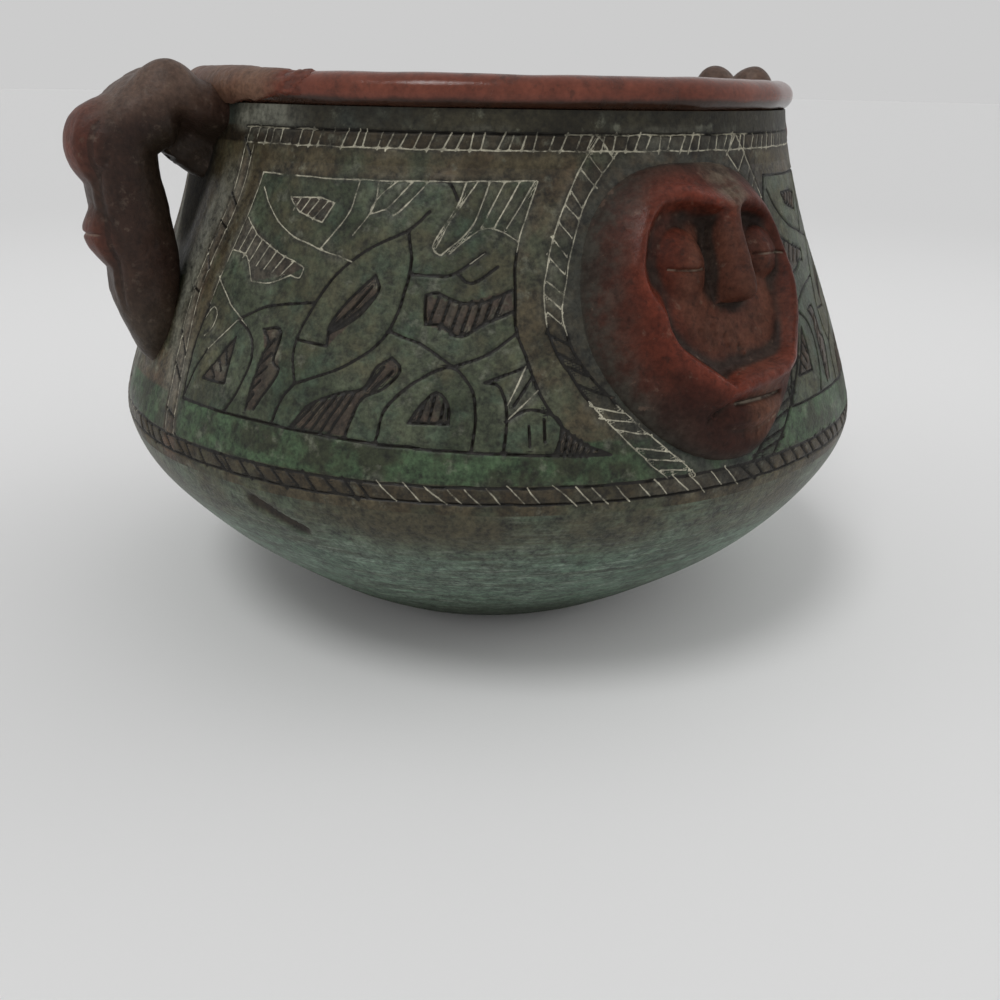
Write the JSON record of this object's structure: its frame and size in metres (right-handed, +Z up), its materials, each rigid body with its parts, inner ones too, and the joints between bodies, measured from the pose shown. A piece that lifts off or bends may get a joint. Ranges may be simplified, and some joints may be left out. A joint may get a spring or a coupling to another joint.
{
  "type": "face vessel",
  "caption": "Squat hand-built clay pot with a shouldered body, applied face masks, figure handles with small loops, a rolled red rim and incised panels on green slip.",
  "frame": {"origin": "middle of the flat base, on the surface that the vessel stands on", "axes": "+Z up through the mouth, -Y out through the front mask, +X out through the right handle"},
  "size_m": [0.238, 0.2288, 0.1558],
  "materials": {
    "teal_slip": "brushed teal green slip with a low sheen",
    "green_slip": "mottled green slip, burnished, with incised lines filled dark or chalky",
    "neck_slip": "dark green black slip, burnished",
    "red_slip": "burnished red brown slip",
    "mask_clay": "burnished dark maroon slip",
    "face_clay": "burnished red brown slip with dust in the hollows",
    "handle_clay": "dark brown clay, thumbed smooth, worn reddish on the high places"
  },
  "bodies": {
    "root": {"base_disc": "teal_slip", "lower_bowl": "teal_slip", "upper_wall": "green_slip", "neck_collar": "neck_slip", "rim_coil": "red_slip", "handle_right_strap": "handle_clay", "handle_right_knob_front": "handle_clay", "handle_right_arm_front": "handle_clay", "handle_right_knob_back": "handle_clay", "handle_right_arm_back": "handle_clay", "handle_right_brow": "handle_clay", "handle_right_lips": "handle_clay", "handle_left_strap": "handle_clay", "handle_left_knob_front": "handle_clay", "handle_left_arm_front": "handle_clay", "handle_left_knob_back": "handle_clay", "handle_left_arm_back": "handle_clay", "handle_left_brow": "handle_clay", "handle_left_lips": "handle_clay", "mask_front_dome": "mask_clay", "mask_front_brow_left": "face_clay", "mask_front_cheek_left": "face_clay", "mask_front_brow_right": "face_clay", "mask_front_cheek_right": "face_clay", "mask_front_nose": "face_clay", "mask_front_eye_left": "face_clay", "mask_front_eye_right": "face_clay", "mask_front_chin": "face_clay", "mask_back_dome": "mask_clay", "mask_back_brow_left": "face_clay", "mask_back_cheek_left": "face_clay", "mask_back_brow_right": "face_clay", "mask_back_cheek_right": "face_clay", "mask_back_nose": "face_clay", "mask_back_eye_left": "face_clay", "mask_back_eye_right": "face_clay", "mask_back_chin": "face_clay"}
  },
  "joints": []
}
